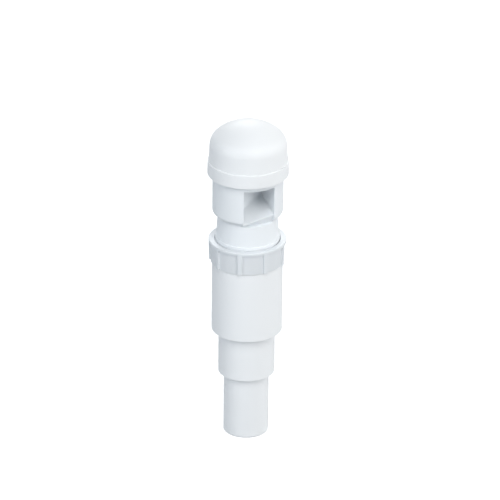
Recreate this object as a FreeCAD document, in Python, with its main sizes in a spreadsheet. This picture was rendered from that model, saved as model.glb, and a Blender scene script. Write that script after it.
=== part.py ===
"""Air admittance valve on its stepped pipe adaptor, in millimetres.

The whole part stands on the small end of the adaptor. Every piece shares the +Z axis, the
adaptor's foot is at the origin, and the two air windows of the head face -Y and +Y.
"""
import FreeCAD, Part

import math
import os
import re

import Sketcher

# Driving dimensions: name, value, meaning
SIZES = [
    # Stepped adaptor
    ("small_radius", 16.0, "outside of the 32 mm pipe end"),
    ("medium_radius", 20.0, "outside of the 40 mm pipe step"),
    ("large_radius", 25.0, "outside of the 50 mm pipe step"),
    ("adaptor_wall", 2.6, "wall of all three steps"),
    ("small_length", 47.0, "height of the 32 mm step"),
    ("medium_length", 33.5, "height of the 40 mm step"),
    ("large_length", 62.0, "height of the 50 mm step"),
    ("shoulder_rise", 1.5, "how far a funnel inside starts above the shoulder outside"),
    ("lead_round", 1.3, "round at the foot that helps the pipe socket over it"),
    ("mouth_chamfer", 0.7, "lead for the seal inside the mouth"),
    ("edge_break", 0.4, "bevel on the plain moulded edges"),
    # Locking nut and slip washer
    ("nut_overlap", 8.5, "how far the nut's skirt reaches below the adaptor's rim"),
    ("nut_height", 16.8, "height of the nut"),
    ("nut_bore", 23.2, "inside of the nut's threaded length"),
    ("nut_skirt_bore", 25.2, "inside of the skirt, over the adaptor's rim"),
    ("nut_skirt_depth", 10.4, "depth of the skirt from its foot"),
    ("nut_panel_foot", 26.0, "outside of the panels at the foot"),
    ("nut_panel_top", 26.15, "outside of the panels under the collar"),
    ("nut_collar_radius", 27.45, "outside of the smooth collar"),
    ("nut_collar_height", 2.0, "height of the smooth collar"),
    ("nut_chamfer", 0.4, "lead at both mouths of the nut"),
    ("grip_count", 9, "grip ribs round the nut"),
    ("grip_width", 3.2, "width of a grip rib"),
    ("grip_radius", 27.4, "outside of a grip rib at its top"),
    ("grip_root", 25.6, "where a grip rib starts inside the panels"),
    ("grip_draft", 1.0, "draft of a grip rib, in degrees"),
    ("grip_phase", 8.0, "turn of the first grip rib from the window, in degrees"),
    ("washer_gap", 0.2, "room between the adaptor's rim and the washer"),
    ("washer_bore", 23.4, "inside of the slip washer"),
    ("washer_radius", 24.9, "outside of the slip washer"),
    ("washer_thickness", 1.5, "thickness of the slip washer"),
    # Outlet seal
    ("seal_foot", 1.3, "foot of the seal above the spigot's foot"),
    ("seal_height", 6.4, "height of the seal's sleeve"),
    ("seal_sleeve", 21.0, "outside of the sleeve between its lips"),
    ("seal_lip_radius", 22.3, "outside of the lips, in the adaptor's bore"),
    ("seal_lip_count", 2, "lips on the sleeve"),
    ("seal_lip_drop", 1.5, "height of one lip"),
    ("seal_lip_rise", 0.9, "height of the slope under a lip"),
    ("seal_lip_land", 0.4, "width of a lip's edge"),
    ("seal_lip_pitch", 2.7, "from one lip to the next"),
    ("seal_lip_foot", 0.8, "foot of the lower lip above the foot of the sleeve"),
    # Valve body
    ("spigot_depth", 7.7, "how far the spigot reaches into the adaptor"),
    ("spigot_radius", 19.95, "outside of the spigot, under the seal"),
    ("spigot_bead_radius", 20.7, "bead that keeps the seal on"),
    ("spigot_bead_height", 1.2, "height of that bead"),
    ("spigot_length", 7.8, "spigot below the thread"),
    ("thread_radius", 22.6, "middle of the thread's flanks"),
    ("thread_length", 8.4, "length of the thread"),
    ("thread_chamfer", 0.8, "lead at the foot of the thread"),
    ("ring_radius", 22.75, "stop ring above the nut"),
    ("ring_height", 2.2, "height of the stop ring"),
    ("neck_foot_radius", 22.2, "neck just above the ring"),
    ("neck_top_radius", 21.25, "waist of the neck"),
    ("neck_length", 15.3, "ring to waist"),
    ("flare_height", 5.4, "height of the curve from neck to barrel"),
    ("barrel_radius", 25.0, "outside of the barrel"),
    ("barrel_bore", 23.0, "inside of the barrel"),
    ("neck_bore", 18.0, "inside of the neck and the spigot"),
    ("bore_straight", 32.2, "straight part of the neck's bore"),
    ("bore_cone", 8.8, "rise of the bore's cone under the duct floor"),
    ("window_half_width", 11.45, "half the width of the windows and the duct"),
    ("jamb_wall", 1.5, "wall between the duct and a side channel"),
    ("window_height", 29.0, "window sill to the deck"),
    ("deck_thickness", 2.5, "deck that carries the valve seat"),
    ("plenum_depth", 8.0, "deck to the rim of the body"),
    ("inlet_count", 2, "inlets of the duct, each with a floor of its own"),
    ("floor_reach", 20.6, "front edge of an inlet's floor from the axis"),
    ("floor_rise", 5.1, "middle of that edge above the sill"),
    ("floor_slope", 11.0, "slope of the floor towards the axis, in degrees"),
    ("floor_tilt", 12.0, "slope of the floor from its left side to its right, in degrees"),
    ("floor_sweep", 3.0, "radius that turns the floor up into the web"),
    ("nose_height", 0.8, "thickness of the floor's front edge"),
    ("nose_depth", 3.1, "how far the undercut below that edge goes in"),
    ("web_half", 1.0, "half the web between the two inlets"),
    ("web_height", 19.3, "top of the web above the sill"),
    ("web_skew", 5.0, "how far the ends of the web stand before and behind the axis"),
    ("collar_radius", 26.2, "collar that carries the cap"),
    ("collar_height", 6.0, "height of the collar"),
    ("collar_lead", 1.2, "slope under the collar"),
    ("groove_radius", 24.4, "floor of the seal ring's groove"),
    ("groove_width", 2.2, "width of that groove"),
    ("groove_drop", 1.7, "top of that groove below the rim"),
    ("seat_hole", 11.0, "radius of the hole through the deck"),
    # Valve seat
    ("seat_plug_radius", 10.9, "plug of the seat in the deck's hole"),
    ("seat_bore", 9.6, "inside of the seat's ring"),
    ("seat_flange_radius", 13.0, "flange on the deck"),
    ("seat_flange_height", 1.2, "thickness of the flange"),
    ("seat_lip_radius", 12.0, "middle of the lip that the membrane closes on"),
    ("seat_lip_half", 0.4, "half the width of that lip"),
    ("seat_lip_crest", 0.15, "half the width of its crest"),
    ("seat_lip_height", 2.5, "lip above the deck"),
    ("spoke_count", 8, "spokes of the seat"),
    ("spoke_width", 1.1, "width of a spoke"),
    ("spoke_height", 2.0, "height of a spoke"),
    ("spoke_drop", 2.3, "foot of a spoke below the deck's top"),
    ("guard_radius", 6.4, "middle of the guard ring between the spokes"),
    ("guard_width", 1.0, "width of the guard ring"),
    ("hub_radius", 3.1, "guide hub"),
    ("hub_drop", 3.0, "foot of the hub below the deck's top"),
    ("guide_bore", 1.6, "bore of the guide hub"),
    # Membrane, carrier and clip
    ("membrane_gap", 0.05, "room between the lip and the membrane"),
    ("membrane_radius", 15.5, "outside of the membrane"),
    ("membrane_bore", 2.3, "hole in the middle of the membrane"),
    ("membrane_thickness", 1.0, "thickness of the membrane"),
    ("carrier_radius", 13.4, "outside of the carrier plate"),
    ("carrier_thickness", 1.2, "thickness of the carrier plate"),
    ("carrier_bevel", 0.3, "bevel on the plate's lower edge"),
    ("carrier_boss_radius", 3.4, "boss on top of the carrier"),
    ("carrier_boss_height", 2.4, "top of the boss and the ribs"),
    ("carrier_collar", 2.2, "collar through the membrane"),
    ("carrier_rib_count", 6, "ribs on the carrier plate"),
    ("carrier_rib_width", 1.0, "width of a carrier rib"),
    ("pin_radius", 1.52, "guide pin"),
    ("pin_length", 14.5, "carrier plate to the foot of the pin"),
    ("pin_groove", 1.1, "radius of the clip's groove in the pin"),
    ("clip_drop", 12.85, "carrier plate to the top of the clip"),
    ("clip_thickness", 0.8, "thickness of the clip"),
    ("clip_radius", 3.0, "outside of the clip"),
    ("clip_bore", 1.15, "inside of the clip"),
    ("clip_slot", 1.6, "slot that lets the clip push on"),
    # Cap and its seal ring
    ("ring_half", 1.0, "half the thickness of the seal ring"),
    ("ring_bevel", 0.4, "bevel on the corners of the seal ring"),
    ("ring_reach", 26.42, "outside of the seal ring, in the cap's bore"),
    ("cap_drop", 6.9, "foot of the cap's rim below the body's rim"),
    ("cap_bore", 26.5, "inside of the cap's rim"),
    ("cap_seat_gap", 0.3, "room between the body's rim and the cap's stops"),
    ("cap_rim_radius", 28.65, "outside of the rim at its foot"),
    ("cap_band_radius", 28.5, "outside of the rim band at its top"),
    ("cap_band_height", 10.4, "height of the rim band"),
    ("cap_foot_radius", 27.8, "outside of the wall above the band"),
    ("cap_top_radius", 27.3, "outside of the wall where the crown starts"),
    ("cap_wall_height", 21.1, "height where the crown starts"),
    ("cap_height", 38.5, "height of the cap"),
    ("cap_wall", 2.0, "thickness of the wall and the crown"),
    ("crown_shoulder", 12.0, "radius of the crown's shoulder"),
    ("cap_lead", 0.6, "lead inside the rim"),
    ("stop_count", 8, "stops inside the cap"),
    ("stop_width", 1.6, "width of a stop"),
    ("stop_reach", 24.0, "how near the axis a stop comes"),
    ("stop_height", 9.0, "height of a stop"),
]

# Heights and radii that follow from the driving dimensions
DERIVED = {
    "large_foot": "small_length + medium_length",
    "adaptor_height": "large_foot + large_length",
    "small_bore": "small_radius - adaptor_wall",
    "medium_bore": "medium_radius - adaptor_wall",
    "large_bore": "large_radius - adaptor_wall",
    "nut_level": "adaptor_height - nut_overlap",
    "nut_panel_height": "nut_height - nut_collar_height",
    "washer_level": "adaptor_height + washer_gap",
    "body_level": "adaptor_height - spigot_depth",
    "thread_top": "spigot_length + thread_length",
    "ring_top": "thread_top + ring_height",
    "sill": "ring_top + neck_length",
    "flare_round": "(flare_run ^ 2 + flare_height ^ 2) / (4 * flare_run)",
    "flare_run": "barrel_radius - neck_top_radius",
    "barrel_foot": "sill + flare_height",
    "channel_face": "window_half_width + jamb_wall",
    "deck_foot": "sill + window_height",
    "deck_top": "deck_foot + deck_thickness",
    "body_top": "deck_top + plenum_depth",
    "collar_foot": "body_top - collar_height",
    "groove_top": "body_top - groove_drop",
    "groove_foot": "groove_top - groove_width",
    "floor_face": "floor_reach - nose_depth",
    "floor_front": "sill + floor_rise",
    "floor_corner": "floor_front + (floor_reach - web_half) * tan(floor_slope)",
    "floor_tangent": "floor_sweep * tan(45 - floor_slope / 2)",
    "sweep_start": "web_half + floor_tangent * cos(floor_slope)",
    "sweep_start_height": "floor_corner - floor_tangent * sin(floor_slope)",
    "web_top": "sill + web_height",
    "tilt_rise": "window_half_width * tan(floor_tilt)",
    "seat_level": "body_level + deck_top",
    "membrane_level": "seat_level + seat_lip_height + membrane_gap",
    "carrier_level": "membrane_level + membrane_thickness",
    "clip_level": "carrier_level - clip_drop - clip_thickness",
    "cap_level": "body_level + body_top - cap_drop",
    "stop_foot": "cap_drop + cap_seat_gap",
    "crown_rise": "cap_height - cap_wall_height",
    "crown_half": "cap_top_radius - crown_shoulder",
    "crown_squares": "crown_half ^ 2 + crown_rise ^ 2 - crown_shoulder ^ 2",
    "crown_radius": "crown_squares / (2 * (crown_rise - crown_shoulder))",
    "crown_turn": "crown_shoulder / (crown_radius - crown_shoulder)",
    "crown_inner_turn": "(crown_shoulder - cap_wall) / (crown_radius - crown_shoulder)",
}

doc = FreeCAD.newDocument("air_admittance_valve")
sheet = doc.addObject("Spreadsheet::Sheet", "sizes")
NAMES = {name for name, value, meaning in SIZES}
SUB_PARTS = []


def fill_sheet():
    """Write one row for each driving dimension: its name, its value and its meaning."""
    for row, (name, value, meaning) in enumerate(SIZES, start=1):
        sheet.set(f"A{row}", name)
        sheet.set(f"B{row}", str(value))
        sheet.set(f"C{row}", meaning)
        sheet.setAlias(f"B{row}", name)
    doc.recompute()


def bound(formula):
    """Turn the names in a formula into references to the sheet's cells."""

    def reference(match):
        word = match.group(0)
        if word in DERIVED:
            return "(" + bound(DERIVED[word]) + ")"
        return "sizes." + word if word in NAMES else word

    return re.sub(r"[a-z][a-z_]*", reference, formula)


def value_of(formula):
    """The number that a formula gives now."""
    return float(sheet.evalExpression(bound(formula)))


def new_body(label, level="0"):
    """An empty body for one sub-part, at its height on the axis."""
    body = doc.addObject("PartDesign::Body", label)
    body.Label = label
    body.setExpression("Placement.Base.z", bound(level))
    SUB_PARTS.append(body)
    return body


def new_sketch(body, plane, name, height):
    """A sketch on one of the body's own planes, raised along the plane's normal."""
    sketch = body.newObject("Sketcher::SketchObject", name)
    origin = [item for item in body.Origin.OriginFeatures if item.Role == plane]
    sketch.AttachmentSupport = [(origin[0], "")]
    sketch.MapMode = "FlatFace"
    sketch.setExpression("AttachmentOffset.Base.z", bound(height))
    return sketch


def pin_point(sketch, index, end, x, y):
    """Hold one end of an edge at the coordinates that two formulas give."""
    for kind, axis, formula in (("DistanceX", -2, x), ("DistanceY", -1, y)):
        if formula == "0":
            sketch.addConstraint(Sketcher.Constraint("PointOnObject", index, end, axis))
        else:
            distance = Sketcher.Constraint(kind, -1, 1, index, end, value_of(formula))
            number = sketch.addConstraint(distance)
            sketch.setExpression(f"Constraints[{number}]", bound(formula))


def arc_between(start, end, radius, turn):
    """The short arc between two points: turn is 1 anticlockwise and -1 clockwise."""
    chord = end - start
    rise = math.sqrt(max(radius ** 2 - (chord.Length / 2) ** 2, 0.0))
    across = FreeCAD.Vector(-chord.y, chord.x, 0).normalize()
    centre = (start + end) / 2 + across * rise * turn
    first, last = (start, end) if turn > 0 else (end, start)
    angles = [math.atan2(point.y - centre.y, point.x - centre.x) for point in (first, last)]
    circle = Part.Circle(centre, FreeCAD.Vector(0, 0, 1), radius)
    return Part.ArcOfCircle(circle, angles[0], angles[1])


def outline(body, plane, name, vertices, height="0"):
    """Draw a closed sketch whose corners are formulas.

    A vertex is (x, y), or (x, y, radius, turn) where an arc leaves it.
    """
    sketch = new_sketch(body, plane, name, height)
    points = [FreeCAD.Vector(value_of(vertex[0]), value_of(vertex[1]), 0) for vertex in vertices]
    ends = []
    for index, vertex in enumerate(vertices):
        start, end = points[index], points[(index + 1) % len(points)]
        if len(vertex) == 4:
            radius, turn = vertex[2], vertex[3]
            sketch.addGeometry(arc_between(start, end, value_of(radius), turn), False)
            ends.append((1, 2) if turn > 0 else (2, 1))
        else:
            sketch.addGeometry(Part.LineSegment(start, end), False)
            ends.append((1, 2))
    for index, vertex in enumerate(vertices):
        before = index - 1 if index else len(vertices) - 1
        joint = Sketcher.Constraint("Coincident", before, ends[before][1], index, ends[index][0])
        sketch.addConstraint(joint)
        pin_point(sketch, index, ends[index][0], vertex[0], vertex[1])
        if len(vertex) == 4:
            radius = Sketcher.Constraint("Radius", index, value_of(vertex[2]))
            number = sketch.addConstraint(radius)
            sketch.setExpression(f"Constraints[{number}]", bound(vertex[2]))
    doc.recompute()
    return sketch


def circles(body, name, radii, height="0"):
    """Draw circles about the axis, one for each radius."""
    sketch = new_sketch(body, "XY_Plane", name, height)
    for index, radius in enumerate(radii):
        circle = Part.Circle(FreeCAD.Vector(0, 0, 0), FreeCAD.Vector(0, 0, 1), value_of(radius))
        sketch.addGeometry(circle, False)
        sketch.addConstraint(Sketcher.Constraint("Coincident", index, 3, -1, 1))
        number = sketch.addConstraint(Sketcher.Constraint("Radius", index, value_of(radius)))
        sketch.setExpression(f"Constraints[{number}]", bound(radius))
    doc.recompute()
    return sketch


def volume_of(body):
    """The body's volume so far, or nothing before its first feature."""
    return body.Shape.Volume if body.Shape.Solids else 0.0


def settle(body, feature, before, grows):
    """Recompute, and stop if the feature left the body's volume as it was."""
    body.Tip = feature
    doc.recompute()
    change = volume_of(body) - before
    if (change if grows else -change) < 0.01:
        raise RuntimeError(f"{body.Label}: {feature.Label} changed nothing")
    return feature


def spin(body, sketch, name, grows=True):
    """Turn a section about the axis, to add it or to cut it."""
    before = volume_of(body)
    kind = "PartDesign::Revolution" if grows else "PartDesign::Groove"
    feature = body.newObject(kind, name)
    feature.Profile = sketch
    feature.ReferenceAxis = (sketch, ["V_Axis"])
    feature.Angle = 360
    return settle(body, feature, before, grows)


def push(body, sketch, name, length, grows=True, both_ways=False, flip=False, draft=None):
    """Pad or pocket a sketch: a pad goes along its normal and a pocket against it."""
    before = volume_of(body)
    feature = body.newObject("PartDesign::Pad" if grows else "PartDesign::Pocket", name)
    feature.Profile = sketch
    feature.setExpression("Length", bound(length))
    feature.SideType = "Symmetric" if both_ways else "One side"
    feature.Reversed = flip
    if draft:
        feature.setExpression("TaperAngle", bound(draft))
    return settle(body, feature, before, grows)


def repeat_round(body, feature, name, count, grows=True):
    """Repeat a feature evenly round the axis."""
    before = volume_of(body)
    pattern = body.newObject("PartDesign::PolarPattern", name)
    pattern.Originals = [feature]
    axis = [item for item in body.Origin.OriginFeatures if item.Role == "Z_Axis"]
    pattern.Axis = (axis[0], [""])
    pattern.Angle = 360
    pattern.setExpression("Occurrences", bound(count))
    return settle(body, pattern, before, grows)


def stepped_adaptor():
    """One hollow moulding with three pipe ends and a funnel inside at each shoulder."""
    body = new_body("stepped_adaptor")
    large_funnel = "large_foot + shoulder_rise"
    small_funnel = "small_length + shoulder_rise"
    section = outline(body, "XZ_Plane", "adaptor_section", [
        ("small_bore", "0"),
        ("small_radius - lead_round", "0", "lead_round", 1),
        ("small_radius", "lead_round"),
        ("small_radius", "small_length"),
        ("medium_radius - edge_break", "small_length"),
        ("medium_radius", "small_length + edge_break"),
        ("medium_radius", "large_foot"),
        ("large_radius - edge_break", "large_foot"),
        ("large_radius", "large_foot + edge_break"),
        ("large_radius", "adaptor_height - edge_break"),
        ("large_radius - edge_break", "adaptor_height"),
        ("large_bore + mouth_chamfer", "adaptor_height"),
        ("large_bore", "adaptor_height - mouth_chamfer"),
        ("large_bore", large_funnel + " + large_bore - medium_bore"),
        ("medium_bore", large_funnel),
        ("medium_bore", small_funnel + " + medium_bore - small_bore"),
        ("small_bore", small_funnel),
    ])
    spin(body, section, "adaptor_wall_turned")


def locking_nut():
    """A ring with a threaded bore, a wider skirt, a smooth collar and grip ribs."""
    body = new_body("locking_nut", "nut_level")
    body.Placement.Rotation = FreeCAD.Rotation(FreeCAD.Vector(0, 0, 1), value_of("grip_phase"))
    body.setExpression("Placement.Rotation.Angle", bound("grip_phase") + " * 1 deg")
    section = outline(body, "XZ_Plane", "nut_section", [
        ("nut_skirt_bore + nut_chamfer", "0"),
        ("nut_panel_foot", "0"),
        ("nut_panel_top", "nut_panel_height"),
        ("nut_collar_radius", "nut_panel_height"),
        ("nut_collar_radius", "nut_height - edge_break"),
        ("nut_collar_radius - edge_break", "nut_height"),
        ("nut_bore + nut_chamfer", "nut_height"),
        ("nut_bore", "nut_height - nut_chamfer"),
        ("nut_bore", "nut_skirt_depth"),
        ("nut_skirt_bore", "nut_skirt_depth"),
        ("nut_skirt_bore", "nut_chamfer"),
    ])
    spin(body, section, "nut_ring")
    tip = "-sqrt(grip_radius ^ 2 - grip_width ^ 2 / 4)"
    grip = outline(body, "XY_Plane", "grip_outline", [
        ("-grip_width / 2", "-grip_root"),
        ("-grip_width / 2", tip, "grip_radius", 1),
        ("grip_width / 2", tip),
        ("grip_width / 2", "-grip_root"),
    ], height="nut_panel_height")
    rib = push(body, grip, "grip_rib", "nut_panel_height", flip=True, draft="-grip_draft")
    repeat_round(body, rib, "grip_ribs", "grip_count")


def slip_washer():
    """A flat ring that turns free between the nut's step and the adaptor's rim."""
    body = new_body("slip_washer", "washer_level")
    ring = circles(body, "washer_outline", ["washer_radius", "washer_bore"])
    push(body, ring, "washer_ring", "washer_thickness")


def outlet_seal():
    """A rubber sleeve with lips that point up against the pull-out direction."""
    body = new_body("outlet_seal", "body_level + seal_foot")
    vertices = [("spigot_radius", "0"), ("seal_sleeve", "0")]
    for lip in range(round(value_of("seal_lip_count"))):
        foot = f"(seal_lip_foot + {lip} * seal_lip_pitch)"
        vertices.append(("seal_sleeve", foot))
        vertices.append(("seal_lip_radius", foot + " + seal_lip_rise"))
        vertices.append(("seal_lip_radius", foot + " + seal_lip_rise + seal_lip_land"))
        vertices.append(("seal_sleeve", foot + " + seal_lip_drop"))
    vertices.append(("seal_sleeve", "seal_height"))
    vertices.append(("spigot_radius", "seal_height"))
    spin(body, outline(body, "XZ_Plane", "seal_section", vertices), "seal_sleeve_turned")


def body_envelope(body):
    """The outside of the valve body: spigot, thread, ring, neck, flare, barrel and collar."""
    section = outline(body, "XZ_Plane", "body_section", [
        ("0", "0"),
        ("spigot_bead_radius - spigot_bead_height / 2", "0"),
        ("spigot_bead_radius", "spigot_bead_height / 2"),
        ("spigot_bead_radius", "spigot_bead_height"),
        ("spigot_radius", "spigot_bead_height"),
        ("spigot_radius", "spigot_length"),
        ("thread_radius - thread_chamfer", "spigot_length"),
        ("thread_radius", "spigot_length + thread_chamfer"),
        ("thread_radius", "thread_top"),
        ("ring_radius", "thread_top"),
        ("ring_radius", "ring_top - edge_break"),
        ("ring_radius - edge_break", "ring_top"),
        ("neck_foot_radius", "ring_top"),
        ("neck_top_radius", "sill", "flare_round", -1),
        ("neck_top_radius + flare_run / 2", "sill + flare_height / 2", "flare_round", 1),
        ("barrel_radius", "barrel_foot"),
        ("barrel_radius", "collar_foot - collar_lead"),
        ("collar_radius", "collar_foot"),
        ("collar_radius", "groove_foot"),
        ("groove_radius", "groove_foot"),
        ("groove_radius", "groove_top"),
        ("collar_radius", "groove_top"),
        ("collar_radius", "body_top - edge_break"),
        ("collar_radius - edge_break", "body_top"),
        ("0", "body_top"),
    ])
    spin(body, section, "body_turned")


def side_channels(body):
    """Two channels beside the duct that join the neck's bore to the space under the cap."""

    def segment(name, radius, height):
        half = f"sqrt({radius} ^ 2 - channel_face ^ 2)"
        return outline(body, "XY_Plane", name, [
            ("channel_face", "-" + half, radius, 1),
            ("channel_face", half),
        ], height=height)

    before = volume_of(body)
    top = segment("channel_outline", "barrel_bore", "deck_top")
    channel = push(body, top, "channel", "deck_top - barrel_foot", grows=False)
    throat = body.newObject("PartDesign::SubtractiveLoft", "channel_throat")
    throat.Profile = segment("throat_foot", "neck_bore", "bore_straight")
    throat.Sections = [segment("throat_top", "barrel_bore", "barrel_foot")]
    settle(body, throat, volume_of(body), grows=False)
    pair = body.newObject("PartDesign::Mirrored", "channel_pair")
    pair.Originals = [channel, throat]
    plane = [item for item in body.Origin.OriginFeatures if item.Role == "YZ_Plane"]
    pair.MirrorPlane = (plane[0], [""])
    half_cut = before - volume_of(body)
    settle(body, pair, volume_of(body), grows=False)
    if abs(before - volume_of(body) - 2 * half_cut) > 1.0:
        raise RuntimeError("the second side channel differs from the first")


def floor_section(body, name, side):
    """One side of an inlet's floor: undercut front edge, slope, sweep and half the web."""
    lift = side + " * tilt_rise"
    web = side + " * web_skew"
    web_lift = side + " * (tilt_rise + web_skew * tan(floor_slope))"
    return outline(body, "YZ_Plane", name, [
        (web, "sill"),
        (web, "web_top"),
        (web + " - web_half", "web_top"),
        (web + " - web_half", "floor_corner + floor_tangent + " + web_lift, "floor_sweep", -1),
        (web + " - sweep_start", "sweep_start_height + " + web_lift),
        ("-floor_reach", "floor_front + " + lift),
        ("-floor_reach", "floor_front - nose_height + " + lift),
        ("-floor_face", "sill"),
    ], height=side + " * window_half_width")


def air_duct(body):
    """The duct from window to window, with a tilted floor in each inlet and a web between them."""
    span = "(barrel_radius + 2)"
    opening = outline(body, "YZ_Plane", "duct_section", [
        ("-" + span, "deck_foot"),
        ("-" + span, "sill"),
        (span, "sill"),
        (span, "deck_foot"),
    ])
    push(body, opening, "duct", "2 * window_half_width", grows=False, both_ways=True)
    floor = body.newObject("PartDesign::AdditiveLoft", "inlet_floor")
    floor.Profile = floor_section(body, "floor_low_side", "-1")
    floor.Sections = [floor_section(body, "floor_high_side", "1")]
    floor.Ruled = True
    settle(body, floor, volume_of(body), grows=True)
    repeat_round(body, floor, "inlet_floors", "inlet_count")


def valve_body():
    """One moulding: spigot, threaded foot, waisted neck and the barrel with its two windows."""
    body = new_body("valve_body", "body_level")
    body_envelope(body)
    air_duct(body)
    bore = outline(body, "XZ_Plane", "bore_section", [
        ("0", "0"),
        ("neck_bore", "0"),
        ("neck_bore", "bore_straight"),
        ("0", "bore_straight + bore_cone"),
    ])
    spin(body, bore, "neck_bore_cut", grows=False)
    plenum = circles(body, "plenum_outline", ["barrel_bore"], height="body_top")
    push(body, plenum, "plenum", "plenum_depth", grows=False)
    side_channels(body)
    hole = circles(body, "seat_hole_outline", ["seat_hole"], height="deck_top")
    push(body, hole, "seat_hole_cut", "deck_thickness", grows=False)


def valve_seat():
    """A ring with a narrow lip, spokes, a guard ring and the hub that guides the pin."""
    body = new_body("valve_seat", "seat_level")
    lip_side = "seat_lip_height - seat_lip_half"
    ring = outline(body, "XZ_Plane", "seat_section", [
        ("seat_bore", "-deck_thickness"),
        ("seat_plug_radius", "-deck_thickness"),
        ("seat_plug_radius", "0"),
        ("seat_flange_radius", "0"),
        ("seat_flange_radius", "seat_flange_height"),
        ("seat_lip_radius + seat_lip_half", "seat_flange_height"),
        ("seat_lip_radius + seat_lip_half", lip_side),
        ("seat_lip_radius + seat_lip_crest", "seat_lip_height"),
        ("seat_lip_radius - seat_lip_crest", "seat_lip_height"),
        ("seat_lip_radius - seat_lip_half", lip_side),
        ("seat_lip_radius - seat_lip_half", "seat_flange_height"),
        ("seat_bore", "seat_flange_height"),
    ])
    spin(body, ring, "seat_ring")
    arm = outline(body, "XY_Plane", "spoke_outline", [
        ("spoke_width / 2", "hub_radius / 2"),
        ("spoke_width / 2", "seat_bore + spoke_width / 2"),
        ("-spoke_width / 2", "seat_bore + spoke_width / 2"),
        ("-spoke_width / 2", "hub_radius / 2"),
    ], height="-spoke_drop")
    spoke = push(body, arm, "spoke", "spoke_height")
    repeat_round(body, spoke, "spokes", "spoke_count")
    guard = circles(body, "guard_outline",
                    ["guard_radius + guard_width / 2", "guard_radius - guard_width / 2"],
                    height="-spoke_drop")
    push(body, guard, "guard_ring", "spoke_height")
    hub = circles(body, "hub_outline", ["hub_radius"], height="-hub_drop")
    push(body, hub, "guide_hub", "hub_drop + seat_flange_height")
    guide = circles(body, "guide_outline", ["guide_bore"], height="seat_flange_height")
    push(body, guide, "guide_bore_cut", "hub_drop + seat_flange_height", grows=False)


def membrane():
    """A flat rubber disc with a hole for the carrier's collar."""
    body = new_body("membrane", "membrane_level")
    ring = circles(body, "membrane_outline", ["membrane_radius", "membrane_bore"])
    push(body, ring, "membrane_disc", "membrane_thickness")


def membrane_carrier():
    """A ribbed plate that keeps the membrane flat, with the pin that guides it."""
    body = new_body("membrane_carrier", "carrier_level")
    clip_foot = "-(clip_drop + clip_thickness)"
    section = outline(body, "XZ_Plane", "carrier_section", [
        ("0", "-pin_length"),
        ("pin_groove", "-pin_length"),
        ("pin_radius", "-pin_length + pin_radius - pin_groove"),
        ("pin_radius", clip_foot),
        ("pin_groove", clip_foot),
        ("pin_groove", "-clip_drop"),
        ("pin_radius", "-clip_drop"),
        ("pin_radius", "-membrane_thickness"),
        ("carrier_collar", "-membrane_thickness"),
        ("carrier_collar", "0"),
        ("carrier_radius - carrier_bevel", "0"),
        ("carrier_radius", "carrier_bevel"),
        ("carrier_radius", "carrier_thickness"),
        ("carrier_boss_radius", "carrier_thickness"),
        ("carrier_boss_radius", "carrier_boss_height"),
        ("0", "carrier_boss_height"),
    ])
    spin(body, section, "carrier_plate")
    rib_section = outline(body, "XZ_Plane", "carrier_rib_section", [
        ("carrier_boss_radius / 2", "carrier_thickness / 2"),
        ("carrier_radius - carrier_rib_width", "carrier_thickness / 2"),
        ("carrier_radius - carrier_rib_width", "carrier_thickness + carrier_bevel"),
        ("carrier_boss_radius / 2", "carrier_boss_height"),
    ])
    rib = push(body, rib_section, "carrier_rib", "carrier_rib_width", both_ways=True)
    repeat_round(body, rib, "carrier_ribs", "carrier_rib_count")


def pin_clip():
    """A slotted ring that is pushed into the pin's groove and stops the lift at the hub."""
    body = new_body("pin_clip", "clip_level")
    ring = circles(body, "clip_outline", ["clip_radius", "clip_bore"])
    push(body, ring, "clip_ring", "clip_thickness")
    slot = outline(body, "XY_Plane", "clip_slot_outline", [
        ("0", "-clip_slot / 2"),
        ("clip_radius + clip_slot", "-clip_slot / 2"),
        ("clip_radius + clip_slot", "clip_slot / 2"),
        ("0", "clip_slot / 2"),
    ], height="clip_thickness")
    push(body, slot, "clip_slot_cut", "clip_thickness", grows=False)


def cap_seal_ring():
    """A square rubber ring with bevelled corners, in the groove of the body's collar."""
    body = new_body("cap_seal_ring", "body_level + (groove_foot + groove_top) / 2")
    inner = "ring_reach - 2 * ring_half"
    section = outline(body, "XZ_Plane", "ring_section", [
        (inner, "-ring_half + ring_bevel"),
        (inner + " + ring_bevel", "-ring_half"),
        ("ring_reach - ring_bevel", "-ring_half"),
        ("ring_reach", "-ring_half + ring_bevel"),
        ("ring_reach", "ring_half - ring_bevel"),
        ("ring_reach - ring_bevel", "ring_half"),
        (inner + " + ring_bevel", "ring_half"),
        (inner, "ring_half - ring_bevel"),
    ])
    spin(body, section, "seal_ring_turned")


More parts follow.
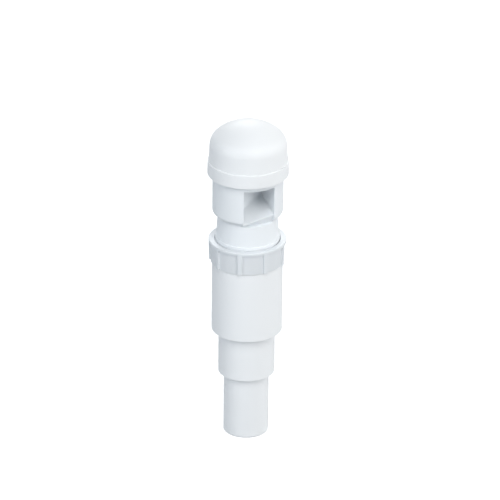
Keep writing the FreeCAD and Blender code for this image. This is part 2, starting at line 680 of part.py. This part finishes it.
def cap():
    """The dome cap: rim band, drafted wall and a crown of two tangent arcs, with stops inside."""
    body = new_body("cap", "cap_level")
    shoulder_x = "crown_half * crown_radius / (crown_radius - crown_shoulder)"
    shoulder_z = "cap_wall_height + crown_turn * (crown_radius - crown_rise)"
    inner_shoulder_x = "crown_half * (1 + crown_inner_turn)"
    inner_shoulder_z = "cap_wall_height + crown_inner_turn * (crown_radius - crown_rise)"
    section = outline(body, "XZ_Plane", "cap_section", [
        ("cap_bore + cap_lead", "0"),
        ("cap_rim_radius - edge_break", "0"),
        ("cap_rim_radius", "edge_break"),
        ("cap_band_radius", "cap_band_height - edge_break"),
        ("cap_band_radius - edge_break", "cap_band_height"),
        ("cap_foot_radius", "cap_band_height"),
        ("cap_top_radius", "cap_wall_height", "crown_shoulder", 1),
        (shoulder_x, shoulder_z, "crown_radius", 1),
        ("0", "cap_height"),
        ("0", "cap_height - cap_wall", "crown_radius - cap_wall", -1),
        (inner_shoulder_x, inner_shoulder_z, "crown_shoulder - cap_wall", -1),
        ("cap_top_radius - cap_wall", "cap_wall_height"),
        ("cap_foot_radius - cap_wall", "stop_foot"),
        ("cap_bore", "stop_foot"),
        ("cap_bore", "cap_lead"),
    ])
    spin(body, section, "cap_shell")
    wall = "(cap_foot_radius - cap_wall)"
    stop_section = outline(body, "XZ_Plane", "stop_section", [
        ("stop_reach", "stop_foot"),
        (wall + " + cap_wall / 2", "stop_foot"),
        (wall + " + cap_wall / 2", "stop_foot + stop_height"),
        (wall + " - cap_wall / 4", "stop_foot + stop_height"),
    ])
    stop = push(body, stop_section, "stop", "stop_width", both_ways=True)
    repeat_round(body, stop, "stops", "stop_count")


def check_document():
    """Stop if any object failed or any sub-part has no valid shape."""
    doc.recompute()
    for item in doc.Objects:
        if "Invalid" in item.State or "Error" in item.State:
            raise RuntimeError(f"{item.Label} failed")
    for item in SUB_PARTS:
        if item.Shape.isNull() or not item.Shape.isValid() or len(item.Shape.Solids) != 1:
            raise RuntimeError(f"{item.Label} is not one valid solid")


def write_parts():
    """Write one file for each sub-part, named by its label."""
    os.makedirs("parts", exist_ok=True)
    for item in SUB_PARTS:
        item.Shape.exportStep(f"parts/{item.Label}.step")
        box = item.Shape.BoundBox
        print(f"{item.Label}: {item.Shape.Volume / 1000:.2f} cm3, z {box.ZMin:.2f} to {box.ZMax:.2f}")


fill_sheet()
stepped_adaptor()
locking_nut()
slip_washer()
outlet_seal()
valve_body()
valve_seat()
membrane()
membrane_carrier()
pin_clip()
cap_seal_ring()
cap()
check_document()
write_parts()
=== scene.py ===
import math

import bmesh
import bpy
from mathutils import Matrix, Vector


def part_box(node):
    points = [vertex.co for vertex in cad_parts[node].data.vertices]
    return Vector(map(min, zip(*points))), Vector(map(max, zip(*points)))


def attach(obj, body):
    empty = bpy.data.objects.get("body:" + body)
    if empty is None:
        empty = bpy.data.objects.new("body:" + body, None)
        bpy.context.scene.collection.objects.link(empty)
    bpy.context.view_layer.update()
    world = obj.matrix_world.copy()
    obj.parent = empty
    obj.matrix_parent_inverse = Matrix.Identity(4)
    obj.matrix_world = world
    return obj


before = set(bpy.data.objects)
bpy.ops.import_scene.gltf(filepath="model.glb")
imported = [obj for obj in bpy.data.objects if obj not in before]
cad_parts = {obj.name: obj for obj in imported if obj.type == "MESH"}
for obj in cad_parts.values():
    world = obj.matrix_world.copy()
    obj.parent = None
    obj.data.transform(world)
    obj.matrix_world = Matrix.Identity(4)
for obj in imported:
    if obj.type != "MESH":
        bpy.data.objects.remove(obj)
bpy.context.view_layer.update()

# One millimetre, in metres
MM = 0.001

# The photograph's camera, worked out from the ellipses and the axis of the adaptor, in degrees
IMAGE_SIZE = 500
FOCAL_PIXELS = 6818.0
AXIS_COLUMN = 247.4
TARGET_HEIGHT = 140.9 * MM
CAMERA_DISTANCE = 4.8
CAMERA_AZIMUTH = -20.8
CAMERA_ELEVATION = 25.7
CAMERA_ROLL = 0.54

# The thread's ridge: its pitch, half its width at root and crest, and its fading ends in turns
THREAD_PITCH = 2.309 * MM
THREAD_ROOT_HALF = 0.62 * MM
THREAD_CREST_HALF = 0.2 * MM
THREAD_STEPS = 72
THREAD_FADE = 0.25

# Where the ridges run: radii, and heights from the foot of the body and of the nut
BODY_RIDGE_ROOT = 22.5 * MM
BODY_RIDGE_CREST = 23.03 * MM
BODY_RIDGE_START = 9.2 * MM
BODY_RIDGE_END = 15.6 * MM
NUT_RIDGE_ROOT = 23.3 * MM
NUT_RIDGE_CREST = 22.85 * MM
NUT_RIDGE_START = 11.2 * MM
NUT_RIDGE_END = 15.8 * MM

# White plastic: noise in waves per metre for flow marks, satin and grain, then gloss and scatter
FLOW_WAVES = 60.0
FLOW_STRETCH = (1.0, 1.0, 0.25)
SATIN_WAVES = 240.0
GRAIN_WAVES = 2200.0
GRAIN_DETAIL = 2.0
GRAIN_DEPTH = 0.02 * MM
PLASTIC_IOR = 1.49
PLASTIC_GLOSS = 0.25
SCATTER_WEIGHT = 0.25
SCATTER_RADIUS = (1.0, 1.0, 1.0)
SCATTER_REACH = 3.0 * MM

# Rubber: noise in waves per metre for its dusty grain and for its roughness
DUST_WAVES = 900.0
DUST_RELIEF = 0.4
DUST_DEPTH = 0.03 * MM
WEAR_WAVES = 300.0
RUBBER_ROUGHNESS = (0.62, 0.80)

# Light colour, dark colour, roughness range and relief of each plastic piece
PLASTICS = {
    "cap": ((0.878, 0.890, 0.901), (0.852, 0.866, 0.879), (0.44, 0.54), 0.25),
    "valve_body": ((0.856, 0.882, 0.905), (0.828, 0.857, 0.883), (0.48, 0.60), 0.30),
    "locking_nut": ((0.774, 0.799, 0.823), (0.742, 0.770, 0.797), (0.50, 0.62), 0.40),
    "stepped_adaptor": ((0.892, 0.905, 0.917), (0.868, 0.883, 0.897), (0.48, 0.60), 0.30),
    "valve_seat": ((0.826, 0.842, 0.857), (0.796, 0.813, 0.830), (0.50, 0.60), 0.30),
    "membrane_carrier": ((0.810, 0.820, 0.830), (0.780, 0.790, 0.800), (0.50, 0.60), 0.30),
    "pin_clip": ((0.760, 0.770, 0.780), (0.720, 0.730, 0.740), (0.50, 0.60), 0.30),
    "slip_washer": ((0.790, 0.800, 0.810), (0.760, 0.770, 0.780), (0.40, 0.50), 0.20),
}

# Light and dark colour of each rubber piece
RUBBERS = {
    "outlet_seal": ((0.045, 0.045, 0.048), (0.025, 0.025, 0.028)),
    "cap_seal_ring": ((0.045, 0.045, 0.048), (0.025, 0.025, 0.028)),
    "membrane": ((0.100, 0.100, 0.105), (0.060, 0.060, 0.065)),
}

# The floor's side, its colour, and its glow, which rises to full between these distances
FLOOR_SIZE = 40.0
FLOOR_COLOUR = (0.45, 0.46, 0.47, 1.0)
FLOOR_GLOW = 0.85
FLOOR_GLOW_START = 0.4
FLOOR_GLOW_END = 1.6

# The light of the world, under the lamps
WHITE = (1.0, 1.0, 1.0)
WORLD_COLOUR = (0.80, 0.91, 1.0, 1.0)
WORLD_STRENGTH = 0.20

# Azimuth and elevation in degrees, power and colour of each lamp, all of one size and distance
LAMP_SIZE = 1.0
LAMP_DISTANCE = 2.2
LAMPS = {
    "key": (-15.0, 50.0, 19.5, (1.0, 0.995, 0.985)),
    "fill": (20.0, 20.0, 16.5, (1.0, 0.995, 0.985)),
    "left_side": (-75.0, 22.0, 16.0, (0.90, 0.95, 1.0)),
    "right_side": (85.0, 22.0, 14.0, (1.0, 1.0, 0.99)),
    "back": (165.0, 30.0, 21.0, WHITE),
}


def new_object(name, data):
    """An object in the scene for this mesh, camera or lamp."""
    thing = bpy.data.objects.new(name, data)
    bpy.context.scene.collection.objects.link(thing)
    return thing


def direction(azimuth, elevation):
    """The way out from the object, by azimuth from its front and elevation, in degrees."""
    a, e = math.radians(azimuth), math.radians(elevation)
    return Vector((math.sin(a) * math.cos(e), -math.cos(a) * math.cos(e), math.sin(e)))


def new_material(name):
    """A material with its node tree and its principled shader."""
    material = bpy.data.materials.new(name)
    material.use_nodes = True
    shader = material.node_tree.nodes["Principled BSDF"]
    return material, material.node_tree, shader


def noise(tree, scale, detail=3.0, stretch=(1.0, 1.0, 1.0)):
    """Noise in the object's own space, in waves per metre, drawn out along an axis if asked."""
    place = tree.nodes.new("ShaderNodeTexCoord")
    mapping = tree.nodes.new("ShaderNodeMapping")
    mapping.inputs["Scale"].default_value = stretch
    tree.links.new(place.outputs["Object"], mapping.inputs["Vector"])
    texture = tree.nodes.new("ShaderNodeTexNoise")
    texture.inputs["Scale"].default_value = scale
    texture.inputs["Detail"].default_value = detail
    tree.links.new(mapping.outputs["Vector"], texture.inputs["Vector"])
    return texture.outputs["Fac"]


def colour_range(tree, factor, low, high):
    """A colour that runs from low to high as the factor runs from 0 to 1."""
    mix = tree.nodes.new("ShaderNodeMix")
    mix.data_type = "RGBA"
    sockets = {socket.identifier: socket for socket in (*mix.inputs, *mix.outputs)}
    sockets["A_Color"].default_value = (*low, 1.0)
    sockets["B_Color"].default_value = (*high, 1.0)
    tree.links.new(factor, sockets["Factor_Float"])
    return sockets["Result_Color"]


def number_range(tree, factor, low, high):
    """A number that runs from low to high as the factor runs from 0 to 1."""
    spread = tree.nodes.new("ShaderNodeMapRange")
    spread.inputs["To Min"].default_value = low
    spread.inputs["To Max"].default_value = high
    tree.links.new(factor, spread.inputs["Value"])
    return spread.outputs[0]


def bump(tree, shader, height, strength, depth):
    """Fine relief from a height."""
    relief = tree.nodes.new("ShaderNodeBump")
    relief.inputs["Strength"].default_value = strength
    relief.inputs["Distance"].default_value = depth
    tree.links.new(height, relief.inputs["Height"])
    tree.links.new(relief.outputs["Normal"], shader.inputs["Normal"])


def moulded_plastic(name, light, shade, rough, relief):
    """White moulded plastic: faint flow marks up the wall, a fine satin grain, soft gloss."""
    material, tree, shader = new_material(name)
    flow = noise(tree, FLOW_WAVES, stretch=FLOW_STRETCH)
    tree.links.new(colour_range(tree, flow, shade, light), shader.inputs["Base Color"])
    satin = noise(tree, SATIN_WAVES)
    tree.links.new(number_range(tree, satin, *rough), shader.inputs["Roughness"])
    shader.inputs["IOR"].default_value = PLASTIC_IOR
    shader.inputs["Specular IOR Level"].default_value = PLASTIC_GLOSS
    shader.inputs["Subsurface Weight"].default_value = SCATTER_WEIGHT
    shader.inputs["Subsurface Radius"].default_value = SCATTER_RADIUS
    shader.inputs["Subsurface Scale"].default_value = SCATTER_REACH
    grain = noise(tree, GRAIN_WAVES, detail=GRAIN_DETAIL)
    bump(tree, shader, grain, relief, GRAIN_DEPTH)
    return material


def rubber(name, light, shade):
    """Matt moulded rubber with a fine dusty grain."""
    material, tree, shader = new_material(name)
    dust = noise(tree, DUST_WAVES)
    tree.links.new(colour_range(tree, dust, shade, light), shader.inputs["Base Color"])
    wear = noise(tree, WEAR_WAVES)
    tree.links.new(number_range(tree, wear, *RUBBER_ROUGHNESS), shader.inputs["Roughness"])
    bump(tree, shader, dust, DUST_RELIEF, DUST_DEPTH)
    return material


def dress_nodes():
    """Give every solid its finish."""
    finishes = {}
    for name, facts in PLASTICS.items():
        finishes[name] = moulded_plastic(name + "_finish", *facts)
    for name, facts in RUBBERS.items():
        finishes[name] = rubber(name + "_finish", *facts)
    for name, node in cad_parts.items():
        node.data.materials.clear()
        node.data.materials.append(finishes[name])
    return finishes


def ridge_rings(root, crest, start, end, start_angle):
    """Rings of four corners along a right-hand ridge that fades in and out at its ends."""
    turns = (end - start) / THREAD_PITCH
    steps = round(turns * THREAD_STEPS)
    fade = THREAD_FADE * THREAD_STEPS
    for step in range(steps + 1):
        full = min(1.0, step / fade, (steps - step) / fade)
        angle = start_angle + math.tau * step / THREAD_STEPS
        middle = start + THREAD_PITCH * step / THREAD_STEPS
        reach = root + (crest - root) * full
        corners = (
            (root, -THREAD_ROOT_HALF),
            (reach, -THREAD_CREST_HALF),
            (reach, THREAD_CREST_HALF),
            (root, THREAD_ROOT_HALF),
        )
        yield [(r * math.cos(angle), r * math.sin(angle), middle + rise) for r, rise in corners]


def thread_ridge(name, body, places, finish):
    """One start of a thread as a closed ridge that rides with its piece."""
    builder = bmesh.new()
    rings = [[builder.verts.new(corner) for corner in ring] for ring in places]
    for ring, following in zip(rings, rings[1:]):
        for side in range(len(ring)):
            nearby = (side + 1) % len(ring)
            builder.faces.new((ring[side], ring[nearby], following[nearby], following[side]))
    builder.faces.new(rings[0])
    builder.faces.new(reversed(rings[-1]))
    bmesh.ops.recalc_face_normals(builder, faces=builder.faces)
    mesh = bpy.data.meshes.new(name)
    builder.to_mesh(mesh)
    builder.free()
    mesh.materials.append(finish)
    ridge = new_object(name, mesh)
    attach(ridge, body)


def threads(finishes):
    """The ridges of the body's thread and, half a pitch between them, those of the nut."""
    body_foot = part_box("valve_body")[0].z
    nut_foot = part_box("locking_nut")[0].z
    body_start = body_foot + BODY_RIDGE_START
    nut_start = nut_foot + NUT_RIDGE_START
    body_end = body_foot + BODY_RIDGE_END
    nut_end = nut_foot + NUT_RIDGE_END
    lag = math.tau * ((nut_start - body_start) / THREAD_PITCH + 0.5)
    outer = ridge_rings(BODY_RIDGE_ROOT, BODY_RIDGE_CREST, body_start, body_end, 0.0)
    inner = ridge_rings(NUT_RIDGE_ROOT, NUT_RIDGE_CREST, nut_start, nut_end, lag)
    thread_ridge("body_thread", "head", outer, finishes["valve_body"])
    thread_ridge("nut_thread", "nut", inner, finishes["locking_nut"])


def background_rays(tree):
    """One for rays that see the background: from the camera, mirrored or let through."""
    rays = tree.nodes.new("ShaderNodeLightPath")
    seen = rays.outputs["Is Camera Ray"]
    for kind in ("Is Glossy Ray", "Is Transmission Ray"):
        either = tree.nodes.new("ShaderNodeMath")
        either.operation = "MAXIMUM"
        tree.links.new(seen, either.inputs[0])
        tree.links.new(rays.outputs[kind], either.inputs[1])
        seen = either.outputs[0]
    return seen


def show_apart(tree, lighting, shown, output):
    """Let one shader light the object while the background shows another."""
    choice = tree.nodes.new("ShaderNodeMixShader")
    tree.links.new(background_rays(tree), choice.inputs[0])
    tree.links.new(lighting, choice.inputs[1])
    tree.links.new(shown, choice.inputs[2])
    tree.links.new(choice.outputs[0], tree.nodes[output].inputs["Surface"])


def floor_glow(tree):
    """A white glow that grows with the distance from the object."""
    place = tree.nodes.new("ShaderNodeTexCoord")
    distance = tree.nodes.new("ShaderNodeVectorMath")
    distance.operation = "LENGTH"
    tree.links.new(place.outputs["Object"], distance.inputs[0])
    paler = tree.nodes.new("ShaderNodeMapRange")
    paler.inputs["From Min"].default_value = FLOOR_GLOW_START
    paler.inputs["From Max"].default_value = FLOOR_GLOW_END
    paler.inputs["To Min"].default_value = FLOOR_GLOW
    tree.links.new(distance.outputs["Value"], paler.inputs["Value"])
    glow = tree.nodes.new("ShaderNodeEmission")
    glow.inputs["Color"].default_value = (*WHITE, 1.0)
    tree.links.new(paler.outputs[0], glow.inputs["Strength"])
    return glow.outputs[0]


def plain_floor():
    """A wide pale floor that shows white and keeps a soft shadow near the object."""
    bpy.ops.mesh.primitive_plane_add(size=FLOOR_SIZE)
    floor = bpy.context.object
    floor.name = "floor"
    material, tree, shader = new_material("floor_white")
    tree.nodes.remove(shader)
    matt = tree.nodes.new("ShaderNodeBsdfDiffuse")
    matt.inputs["Color"].default_value = FLOOR_COLOUR
    both = tree.nodes.new("ShaderNodeAddShader")
    tree.links.new(matt.outputs[0], both.inputs[0])
    tree.links.new(floor_glow(tree), both.inputs[1])
    show_apart(tree, matt.outputs[0], both.outputs[0], "Material Output")
    floor.data.materials.append(material)


def white_world():
    """A world that shows white and lights the object with a plain pale blue-grey."""
    world = bpy.data.worlds.new("studio")
    bpy.context.scene.world = world
    world.use_nodes = True
    tree = world.node_tree
    soft = tree.nodes["Background"]
    soft.inputs["Color"].default_value = WORLD_COLOUR
    soft.inputs["Strength"].default_value = WORLD_STRENGTH
    white = tree.nodes.new("ShaderNodeBackground")
    white.inputs["Color"].default_value = (*WHITE, 1.0)
    show_apart(tree, soft.outputs[0], white.outputs[0], "World Output")


def studio_light():
    """A soft key above the camera, a low fill to its right, side lamps and one behind."""
    for name, (azimuth, elevation, power, colour) in LAMPS.items():
        out = direction(azimuth, elevation)
        data = bpy.data.lights.new(name, "AREA")
        data.energy = power
        data.size = LAMP_SIZE
        data.color = colour
        lamp = new_object(name, data)
        lamp.location = Vector((0.0, 0.0, TARGET_HEIGHT)) + out * LAMP_DISTANCE
        lamp.rotation_mode = "QUATERNION"
        lamp.rotation_quaternion = out.to_track_quat("Z", "Y")


def photo_camera():
    """The camera of the photograph, with the adaptor where the photograph has it."""
    data = bpy.data.cameras.new("camera")
    data.lens = data.sensor_width * FOCAL_PIXELS / IMAGE_SIZE
    camera = new_object("camera", data)
    azimuth = math.radians(CAMERA_AZIMUTH)
    right = Vector((math.cos(azimuth), math.sin(azimuth), 0.0))
    back = direction(CAMERA_AZIMUTH, CAMERA_ELEVATION)
    up = back.cross(right)
    aside = (IMAGE_SIZE / 2 - AXIS_COLUMN) / FOCAL_PIXELS * CAMERA_DISTANCE
    target = Vector((0.0, 0.0, TARGET_HEIGHT)) + right * aside
    roll = Matrix.Rotation(math.radians(CAMERA_ROLL), 3, back)
    axes = Matrix((roll @ right, roll @ up, back)).transposed()
    camera.matrix_world = Matrix.Translation(target + back * CAMERA_DISTANCE) @ axes.to_4x4()
    bpy.context.scene.camera = camera


threads(dress_nodes())
plain_floor()
white_world()
studio_light()
photo_camera()

bpy.context.scene.view_settings.view_transform = "Standard"
